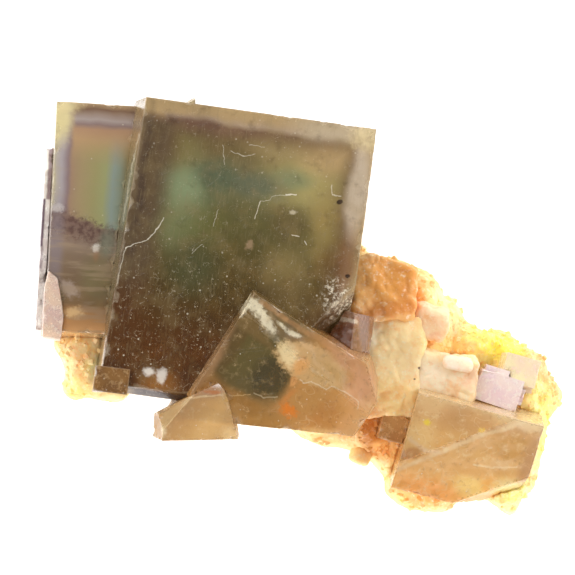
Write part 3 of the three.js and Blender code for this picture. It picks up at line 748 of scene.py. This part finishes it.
def ground_colour(tree):
    """The stained colour that the crust and its blocks share."""
    broad = tree.noise(0.25, 4.0, 0.6, vector=tree.at)
    colour = tree.ramp(broad, [(0.3, (240, 176, 98)), (0.42, (250, 206, 140)), (0.5, (254, 228, 172)),
                               (0.58, (252, 214, 140)), (0.7, (244, 184, 106))])
    for x, y, wide, tall, tint, strength, turn in STAINS:
        colour = tree.patch(colour, x, y, wide, tall, tint, strength, soft=0.55, turn=turn, ragged=0.35)
    return colour


def grainy(tree, colour, normal_strength, rust=0.65):
    """White and rusty grains over a colour, with the relief that goes with them."""
    grain = tree.noise(1.4, 6.0, 0.72)
    colour = tree.mix(tree.step(grain, 0.52, 0.7, 0.0, 0.6), colour, rgb(255, 246, 222))
    colour = tree.mix(tree.step(tree.noise(0.8, 6.0, 0.7), 0.45, 0.3, 0.0, rust), colour, rgb(224, 142, 62))
    veil = tree.step(tree.noise(0.45, 5.0, 0.7, vector=tree.at), 0.5, 0.3, 0.0, 0.5)
    colour = tree.mix(veil, colour, rgb(240, 182, 110))
    normal = tree.bump(tree.cells(1.5)[0], 0.14 * normal_strength, 0.4)
    normal = tree.bump(grain, 0.14 * normal_strength, 0.6, normal)
    return colour, tree.math("MULTIPLY_ADD", grain, 0.25, 0.38), normal


def painted_backlight_glow(tree, colour, glow):
    """A painted glow: emission in the stone's own colour stands in for the light from below that passes
    through thin granular stone, so it is brighter than its skin.
    """
    tree.feed(tree.shader.inputs["Emission Color"], colour)
    tree.shader.inputs["Emission Strength"].default_value = glow


def block_finish(name, tint, share, dots=()):
    """A granular block's finish: the crust's stains under a tint of its own."""
    tree = ground_tree(name)
    tree.wave_about(1.2, 0.25)
    colour = tree.mix(share, ground_colour(tree), rgb(*tint))
    colour, roughness, normal = grainy(tree, colour, 0.8, 0.22)
    for x, y, size in dots:
        colour = tree.patch(colour, x, y, size, size * 0.8, (60, 36, 22), 0.9, soft=0.4, ragged=0.1)
    colour = tree.specks(colour, 1.5, 0.14, (255, 252, 240), 0.6, 0.2)
    # Painted glow: a faint emission stands in for light passed through the block from below.
    painted_backlight_glow(tree, colour, 0.04)
    return tree.finish(colour, roughness, normal, IOR=1.43, Subsurface_Weight=0.6,
                       Subsurface_Scale=0.001, Subsurface_Radius=(1.0, 1.0, 0.9))


def crust_finish(name="crust", depth=0.6):
    """The crust's finish: warm stains, pale grains, and small pits."""
    tree = ground_tree(name)
    tree.wave_about(1.2, 0.25)
    colour, roughness, normal = grainy(tree, ground_colour(tree), 1.0)
    # Painted glow: an emission stands in for light passed through the crust from below.
    painted_backlight_glow(tree, colour, 0.14)
    return tree.finish(colour, roughness, normal, Subsurface_Weight=depth, Subsurface_Scale=0.001,
                       Subsurface_Radius=(1.0, 1.0, 0.9))


# ---------------------------------------------------------------- shapes

def solid_copy(node):
    """A CAD node's solid with its loose triangles joined into whole faces."""
    shape = bmesh.new()
    shape.from_mesh(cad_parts[node].data)
    bmesh.ops.remove_doubles(shape, verts=shape.verts[:], dist=1e-6)
    bmesh.ops.dissolve_limit(shape, angle_limit=math.radians(1.0), use_dissolve_boundaries=False,
                             verts=shape.verts[:], edges=shape.edges[:], delimit=set())
    return shape


def close_seams(shape, neighbours):
    """Moves what lies close to a neighbour just into that neighbour."""
    for vertex in shape.verts:
        for tree in neighbours:
            found, _, _, distance = tree.find_nearest(vertex.co, SEAM_REACH)
            if found is not None:
                vertex.co += (found - vertex.co).normalized() * (distance + SEAM_OVERLAP)


def edge_points(shape, spacing):
    """Points along the solid's sharp edges, for finding how far a point is from one."""
    points = []
    for edge in shape.edges:
        if len(edge.link_faces) == 2 and edge.calc_face_angle(0) > SHARP:
            start, end = edge.verts[0].co, edge.verts[1].co
            count = max(1, round((end - start).length / spacing))
            points += [start.lerp(end, i / count) for i in range(count + 1)]
    tree = KDTree(len(points))
    for i, point in enumerate(points):
        tree.insert(point, i)
    tree.balance()
    return tree


def slice_up(shape, turn, spacing):
    """Cuts the solid's faces into a grid along the crystal's own axes."""
    for i in range(3):
        axis = turn.col[i]
        reaches = [vertex.co.dot(axis) for vertex in shape.verts]
        low, high = min(reaches), max(reaches)
        count = int((high - low) / spacing)
        for k in range(1, count + 1):
            at = low + (high - low) * k / (count + 1)
            bmesh.ops.bisect_plane(shape, geom=shape.verts[:] + shape.edges[:] + shape.faces[:],
                                   dist=1e-7, plane_co=axis * at, plane_no=axis)


def weather(shape, turn, edges, chips, fracture, seed, facing):
    """Chips the edges, ripples the broken faces, and notes both for the finish, with how near each point
    lies to a sharp edge, which the finish paints as a pale edge highlight.
    """
    chip_wear_and_highlight_layer = shape.verts.layers.float.new("chip_wear_and_edge_highlight")
    broken_layer = shape.verts.layers.float.new("broken")
    shape.normal_update()
    shift = Vector((seed * 3.7, seed * 1.9, seed * 5.3))
    back = turn.transposed()
    moves = []
    for vertex in shape.verts:
        place = vertex.co / MM + shift
        distance = edges.find(vertex.co)[2] / MM
        own = back @ vertex.normal
        flat = max(abs(own.x), abs(own.y), abs(own.z))
        bite = (noise.noise(place * 0.55) + 0.6 * noise.noise(place * 1.5)
                + 0.35 * noise.noise(place * 3.7))
        chip = max(0.0, bite - 0.12) * smoothstep(1.1, 0.1, distance)
        pit = max(0.0, noise.noise(place * 0.9 + shift) - 0.42) * 0.35
        broken = 1.0 if flat < facing and distance > 0.35 else 0.0
        ripple = 0.0
        if broken:
            ripple = (abs(noise.noise(place * 0.35)) * 0.9 + abs(noise.noise(place * 1.1)) * 0.35
                      + noise.noise(place * 2.6) * 0.12) * smoothstep(0.3, 1.6, distance)
        moves.append(-vertex.normal * (chip * chips + pit * 0.25 + ripple * fracture) * MM)
        # This mark also rises near every sharp edge, chipped or not; the finish paints that as a pale edge
        # highlight.
        vertex[chip_wear_and_highlight_layer] = min(1.0, chip * 2.2 + smoothstep(0.28, 0.05, distance) * 0.5)
        vertex[broken_layer] = broken
    for vertex, move in zip(shape.verts, moves):
        vertex.co += move


def make_piece(name, shape, material, body_slot, *nodes, angle=32):
    """Turns a finished shape into a piece that rides on the body, and hides the model nodes it replaces."""
    mesh = bpy.data.meshes.new(name)
    bmesh.ops.triangulate(shape, faces=shape.faces[:])
    shape.normal_update()
    shape.to_mesh(mesh)
    shape.free()
    for extra in ("custom_normal", "sharp_edge", "sharp_face"):
        if extra in mesh.attributes:
            mesh.attributes.remove(mesh.attributes[extra])
    mesh.shade_smooth()
    mesh.set_sharp_from_angle(angle=math.radians(angle))
    mesh.materials.clear()
    mesh.materials.append(material)
    piece = bpy.data.objects.new(name, mesh)
    bpy.context.scene.collection.objects.link(piece)
    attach(piece, BODY)
    if nodes:
        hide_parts(*nodes)
    return piece


def snug_solid(node):
    """A CAD node's solid, grown to close its seams with the crystals that cut it."""
    shape = solid_copy(node)
    place = ORDER.index(node)
    low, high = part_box(node)
    neighbours = []
    for other in ORDER[:place]:
        near_low, near_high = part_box(other)
        if all(near_low[i] < high[i] + MM and near_high[i] > low[i] - MM for i in range(3)):
            near = solid_copy(other)
            neighbours.append(BVHTree.FromBMesh(near))
            near.free()
    close_seams(shape, neighbours)
    shape.normal_update()
    return shape


def grow_crystal(node, material, body_slot, settings, spacing=0.5, chips=0.5, fracture=0.5,
                 bevel=0.1, facing=0.985):
    """Builds one crystal from its CAD solid: closed seams, worn edges, broken faces."""
    shape = snug_solid(node)
    edges = edge_points(shape, 0.25 * MM)
    picked = [e for e in shape.edges if len(e.link_faces) == 2 and e.calc_face_angle(0) > SHARP]
    bmesh.ops.bevel(shape, geom=picked, offset=bevel * MM, offset_type="OFFSET", segments=2,
                    profile=0.5, affect="EDGES", clamp_overlap=True, material=-1)
    slice_up(shape, axes(node), spacing * MM)
    weather(shape, axes(node), edges, chips * settings.chip_depth, fracture * settings.fracture_depth,
            ORDER.index(node) + 1, facing)
    return make_piece(node + "_stone", shape, material, body_slot, node)


def evened(shape, spacing):
    """The same solid with an even skin of small faces."""
    mesh = bpy.data.meshes.new("rough")
    shape.to_mesh(mesh)
    shape.free()
    rough = bpy.data.objects.new("rough", mesh)
    bpy.context.scene.collection.objects.link(rough)
    remesh = rough.modifiers.new("even", "REMESH")
    remesh.mode = "VOXEL"
    remesh.voxel_size = spacing
    bpy.context.view_layer.update()
    even = rough.evaluated_get(bpy.context.evaluated_depsgraph_get())
    shape = bmesh.new()
    shape.from_mesh(even.to_mesh())
    bpy.data.objects.remove(rough)
    bpy.data.meshes.remove(mesh)
    shape.normal_update()
    return shape


def granulate(shape, heights, swell=0.0):
    """Raises blocky grains over the skin. heights has (grains to the millimetre, height in mm)."""
    moves = []
    for vertex in shape.verts:
        place = vertex.co / MM
        rise = swell
        for scale, height in heights:
            rise += (0.45 - noise.voronoi(place * scale, distance_metric="CHEBYCHEV")[0][0]) * height
        rise += noise.noise(place * 3.1) * 0.06
        moves.append(vertex.normal * rise * MM)
    for vertex, move in zip(shape.verts, moves):
        vertex.co += move
        vertex.co.z = max(0.0, vertex.co.z)


def drift(place):
    """A smooth wandering vector, each part from -1 to 1."""
    return Vector([noise.noise(place + Vector((17.3 * i, 5.9 * i, 11.7 * i))) for i in range(3)])


def grow_block(node, material, body_slot, bend):
    """Builds one granular block from its CAD solid, with soft corners and bent sides."""
    shape = evened(snug_solid(node), BLOCK_SPACING)
    for _ in range(BLOCK_ROUNDING):
        bmesh.ops.smooth_vert(shape, verts=shape.verts[:], factor=0.5, use_axis_x=True,
                              use_axis_y=True, use_axis_z=True)
    for vertex in shape.verts:
        place = vertex.co / MM
        vertex.co += drift(place * 0.28) * bend + drift(place * 0.9) * bend * 0.3
    shape.normal_update()
    granulate(shape, BLOCK_GRAINS, 0.3)
    return make_piece(node + "_stone", shape, material, body_slot, node, angle=50)


def scatter_grains(crust, settings):
    """Strews small cubes over the open crust, as one piece."""
    ground = BVHTree.FromBMesh(crust)
    covers = []
    for node in ORDER:
        cover = solid_copy(node)
        covers.append(BVHTree.FromBMesh(cover))
        cover.free()
    low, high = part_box("crust")
    draw = random.Random(GRAIN_SEED)
    down = Vector((0, 0, -1))
    shape = bmesh.new()
    placed = 0
    while placed < settings.grains:
        start = Vector((draw.uniform(low.x, high.x), draw.uniform(low.y, high.y), high.z + 30 * MM))
        found = ground.ray_cast(start, down)[0]
        size = draw.uniform(0.3, 0.85) * MM
        spin = Euler([draw.uniform(-0.5, 0.5), draw.uniform(-0.5, 0.5), draw.uniform(0, 1.57)])
        if found is None or found.z < 1.5 * MM or any(c.ray_cast(start, down)[0] for c in covers):
            continue
        place = Matrix.Translation(found) @ spin.to_matrix().to_4x4()
        cube = bmesh.ops.create_cube(shape, size=size, matrix=place)
        edges = dict.fromkeys(edge for vertex in cube["verts"] for edge in vertex.link_edges)
        bmesh.ops.bevel(shape, geom=list(edges), offset=size * 0.12, offset_type="OFFSET", segments=1,
                        profile=0.5, affect="EDGES", clamp_overlap=True, material=-1)
        placed += 1
    make_piece("crust_grains", shape, crust_finish("crust_cubes", 0.0), "crust", angle=25)


# ---------------------------------------------------------------- settings

class CrystalSettings(bpy.types.PropertyGroup):
    chip_depth: bpy.props.FloatProperty(
        name="Chip depth", description="How deep the edges are chipped, as a multiple",
        default=1.0, min=0.0, max=3.0, subtype="FACTOR")
    fracture_depth: bpy.props.FloatProperty(
        name="Fracture depth", description="How deep the broken faces ripple, as a multiple",
        default=1.0, min=0.0, max=3.0, subtype="FACTOR")


class CrustSettings(bpy.types.PropertyGroup):
    grain: bpy.props.FloatProperty(
        name="Grain", description="Spacing of the crust's mesh",
        default=0.36 * MM, min=0.2 * MM, max=2 * MM, subtype="DISTANCE", unit="LENGTH")
    roughness: bpy.props.FloatProperty(
        name="Lump height", description="How far the crust's lumps stand out",
        default=0.7 * MM, min=0.0, max=3 * MM, subtype="DISTANCE", unit="LENGTH")
    grains: bpy.props.IntProperty(
        name="Grains", description="How many small cubes lie on the crust",
        default=260, min=0, max=2000)


class StudioSettings(bpy.types.PropertyGroup):
    floor_glow: bpy.props.FloatProperty(
        name="Floor glow", description="Light that the floor gives from below",
        default=0.6, min=0.0, max=3.0)
    distance: bpy.props.FloatProperty(
        name="Camera distance", description="From the camera to the crowns",
        default=1.0, min=0.2, max=5.0, subtype="DISTANCE", unit="LENGTH")
    lens: bpy.props.FloatProperty(
        name="Lens", description="Focal length in millimetres",
        default=431.65, min=20.0, max=1000.0)


# ---------------------------------------------------------------- operators

class FLUORITE_OT_main_crystal(bpy.types.Operator):
    """Build the great zoned cube."""
    bl_idname = "fluorite.main_crystal"
    bl_label = "Main crystal"

    def execute(self, context):
        settings = context.scene.fluorite_crystals
        grow_crystal("main_crystal", main_finish(), "smoky_zoned", settings, 0.5, 0.45, 0.6, 0.06,
                     facing=0.96)
        return {"FINISHED"}


class FLUORITE_OT_left_crystal(bpy.types.Operator):
    """Build the left zoned cube with its plate and flake."""
    bl_idname = "fluorite.left_crystal"
    bl_label = "Left crystal"

    def execute(self, context):
        settings = context.scene.fluorite_crystals
        grow_crystal("left_crystal", left_finish(), "smoky_zoned", settings, 0.5, 0.45, 0.5, 0.05)
        grow_crystal("edge_plate", plate_finish(), "plum", settings, 0.4, 0.6, 0.4, 0.08)
        pink = small_finish("lilac_flake", "pink_flake",
                            ((246, 216, 188), (226, 194, 182), (252, 236, 214)))
        grow_crystal("pink_flake", pink, "lilac", settings, 0.4, 0.4, 0.4, 0.1)
        return {"FINISHED"}


class FLUORITE_OT_front_crystals(bpy.types.Operator):
    """Build the tilted crystals that stand in front."""
    bl_idname = "fluorite.front_crystals"
    bl_label = "Front crystals"

    def execute(self, context):
        settings = context.scene.fluorite_crystals
        grow_crystal("front_crystal", front_finish(), "straw", settings, 0.4, 0.6, 0.7)
        grow_crystal("foot_crystal", foot_finish(), "straw", settings, 0.35, 0.6, 0.6)
        grow_crystal("side_crystal", side_finish(), "plum", settings, 0.35, 0.5, 0.4)
        corner = small_finish("straw_corner", "corner_cube",
                              ((146, 104, 56), (122, 84, 44), (184, 148, 100)))
        grow_crystal("corner_cube", corner, "straw", settings, 0.35, 0.4, 0.4)
        return {"FINISHED"}


class FLUORITE_OT_right_crystals(bpy.types.Operator):
    """Build the right crystal and the small cubes beside it."""
    bl_idname = "fluorite.right_crystals"
    bl_label = "Right crystals"

    def execute(self, context):
        settings = context.scene.fluorite_crystals
        grow_crystal("right_crystal", right_finish(), "straw", settings, 0.4, 0.6, 0.6)
        blocks = (
            ("orange_block", "orange", (226, 146, 58), 0.45, ()),
            ("cream_block", "cream", (255, 220, 164), 0.35,
             ((10.4, -2.2, 0.28), (16.9, -9.2, 0.28), (16.2, -11.0, 0.14), (17.6, -1.8, 0.16))),
            ("cream_cube", "cream", (255, 232, 208), 0.4, ()),
            ("white_sliver", "cream", (252, 234, 226), 0.6, ()),
            ("rounded_cube", "lilac", (252, 212, 178), 0.7, ()),
            ("fringe_cube", "straw", (252, 206, 140), 0.4, ()),
        )
        for node, body_slot, tint, share, dots in blocks:
            bend = 0.0 if node in ("fringe_cube", "white_sliver") else BEND
            grow_block(node, block_finish(body_slot + "_" + node, tint, share, dots), body_slot, bend)
        cubes = (
            ("lilac_crystal", "lilac", ((255, 236, 228), (246, 220, 226), (255, 248, 238)), 0.1, 0.5),
            ("pink_cube", "lilac", ((255, 228, 196), (255, 242, 190), (252, 216, 204)), 0.1, 0.5),
            ("brown_cube", "straw", ((214, 160, 96), (196, 138, 78), (238, 196, 132)), 0.2, 0.5),
            ("top_knob", "straw", ((190, 166, 120), (160, 138, 98), (226, 206, 160)), 0.2, 0.3),
        )
        for node, body_slot, tints, clear, chips in cubes:
            finish = small_finish(body_slot + "_" + node, node, tints, transmission=clear)
            grow_crystal(node, finish, body_slot, settings, 0.3, chips, 0.4, 0.2)
        return {"FINISHED"}


class FLUORITE_OT_crust(bpy.types.Operator):
    """Build the granular crust that the crystals grow on."""
    bl_idname = "fluorite.crust"
    bl_label = "Crust"

    def execute(self, context):
        settings = context.scene.fluorite_crust
        shape = evened(solid_copy("crust"), settings.grain)
        tall = settings.roughness / MM
        granulate(shape, ((0.38, 0.6 * tall), (1.0, 0.35 * tall), (2.1, 0.15 * tall)), 0.25)
        scatter_grains(shape, settings)
        make_piece("crust_stone", shape, crust_finish(), "crust", "crust", angle=40)
        return {"FINISHED"}


class FLUORITE_OT_studio(bpy.types.Operator):
    """Build the pale floor, the soft light and the camera."""
    bl_idname = "fluorite.studio"
    bl_label = "Studio"

    def execute(self, context):
        settings = context.scene.fluorite_studio
        scene = context.scene
        low, high = Vector(CAD_BOX[0]), Vector(CAD_BOX[1])
        size = high - low

        floor_shape = bmesh.new()
        bmesh.ops.create_grid(floor_shape, x_segments=4, y_segments=4, size=3.0)
        mesh = bpy.data.meshes.new("studio_floor")
        floor_shape.to_mesh(mesh)
        floor_shape.free()
        paper = Tree("studio_paper")
        tooth = paper.noise(0.02, 3.0)
        colour = paper.mix(paper.step(tooth, 0.3, 0.7, 0.0, 1.0), rgb(248, 248, 248), rgb(250, 250, 250))
        paper.finish(colour, 0.8, paper.bump(tooth, 0.02, 0.1),
                     Emission_Color=(1, 1, 1, 1), Emission_Strength=settings.floor_glow)
        mesh.materials.append(paper.material)
        floor = bpy.data.objects.new("studio_floor", mesh)
        scene.collection.objects.link(floor)

        world = bpy.data.worlds.new("studio_sky")
        scene.world = world
        world.use_nodes = True
        nodes, links = world.node_tree.nodes, world.node_tree.links
        nodes.clear()
        output = nodes.new("ShaderNodeOutputWorld")
        light = nodes.new("ShaderNodeBackground")
        where = nodes.new("ShaderNodeTexCoord")
        split = nodes.new("ShaderNodeSeparateXYZ")
        shade = nodes.new("ShaderNodeMapRange")
        for name, value in zip(("From Min", "To Min", "From Max", "To Max"), SKY_LOW + SKY_HIGH):
            shade.inputs[name].default_value = value
        links.new(where.outputs["Generated"], split.inputs[0])
        links.new(split.outputs[2], shade.inputs["Value"])
        links.new(shade.outputs[0], light.inputs["Strength"])
        links.new(light.outputs[0], output.inputs["Surface"])

        key_data = bpy.data.lights.new("studio_key", "AREA")
        key_data.shape = "DISK"
        key_data.size = KEY_SIZE
        key_data.energy = KEY_POWER
        key = bpy.data.objects.new("studio_key", key_data)
        key.location = KEY_PLACE
        key.rotation_euler = (-key.location).to_track_quat("-Z", "Y").to_euler()
        scene.collection.objects.link(key)

        towards = Vector(VIEW_FROM).normalized()
        aim = Vector((low.x + size.x * AIM_SHARES[0], low.y + size.y * AIM_SHARES[1], AIM_HEIGHT))
        up = (Vector((0, 1, 0)) - towards * towards.y).normalized()
        right = up.cross(towards)
        turn = Matrix((right, up, towards)).transposed()
        camera_data = bpy.data.cameras.new("studio_camera")
        camera_data.sensor_width = 36
        camera_data.lens = settings.lens
        camera_data.clip_end = 20
        camera = bpy.data.objects.new("studio_camera", camera_data)
        camera.matrix_world = Matrix.Translation(aim + towards * settings.distance) @ turn.to_4x4()
        scene.collection.objects.link(camera)
        scene.camera = camera
        scene.view_settings.view_transform = "Standard"
        return {"FINISHED"}


class FLUORITE_PT_panel(bpy.types.Panel):
    """Shows the specimen's settings and the buttons that build its pieces."""
    bl_label = "Fluorite Specimen"
    bl_idname = "FLUORITE_PT_panel"
    bl_space_type = "VIEW_3D"
    bl_region_type = "UI"
    bl_category = "Fluorite"

    def draw(self, context):
        layout = self.layout
        crystals, crust, studio = (context.scene.fluorite_crystals, context.scene.fluorite_crust,
                                   context.scene.fluorite_studio)
        for settings, names in ((crystals, ("chip_depth", "fracture_depth")),
                                (crust, ("grain", "roughness")),
                                (studio, ("floor_glow", "distance", "lens"))):
            for name in names:
                layout.prop(settings, name)
        for operator in OPERATORS:
            layout.operator(operator.bl_idname)


GROUPS = (("fluorite_crystals", CrystalSettings), ("fluorite_crust", CrustSettings),
          ("fluorite_studio", StudioSettings))
OPERATORS = (FLUORITE_OT_studio, FLUORITE_OT_main_crystal, FLUORITE_OT_left_crystal,
             FLUORITE_OT_front_crystals, FLUORITE_OT_right_crystals, FLUORITE_OT_crust)


def register():
    for name, group in GROUPS:
        bpy.utils.register_class(group)
        setattr(bpy.types.Scene, name, bpy.props.PointerProperty(type=group))
    for operator in OPERATORS:
        bpy.utils.register_class(operator)
    bpy.utils.register_class(FLUORITE_PT_panel)


def unregister():
    bpy.utils.unregister_class(FLUORITE_PT_panel)
    for operator in reversed(OPERATORS):
        bpy.utils.unregister_class(operator)
    for name, group in reversed(GROUPS):
        delattr(bpy.types.Scene, name)
        bpy.utils.unregister_class(group)


def main():
    register()
    bpy.ops.fluorite.studio()
    bpy.ops.fluorite.main_crystal()
    bpy.ops.fluorite.left_crystal()
    bpy.ops.fluorite.front_crystals()
    bpy.ops.fluorite.right_crystals()
    bpy.ops.fluorite.crust()


if __name__ == "__main__":
    main()
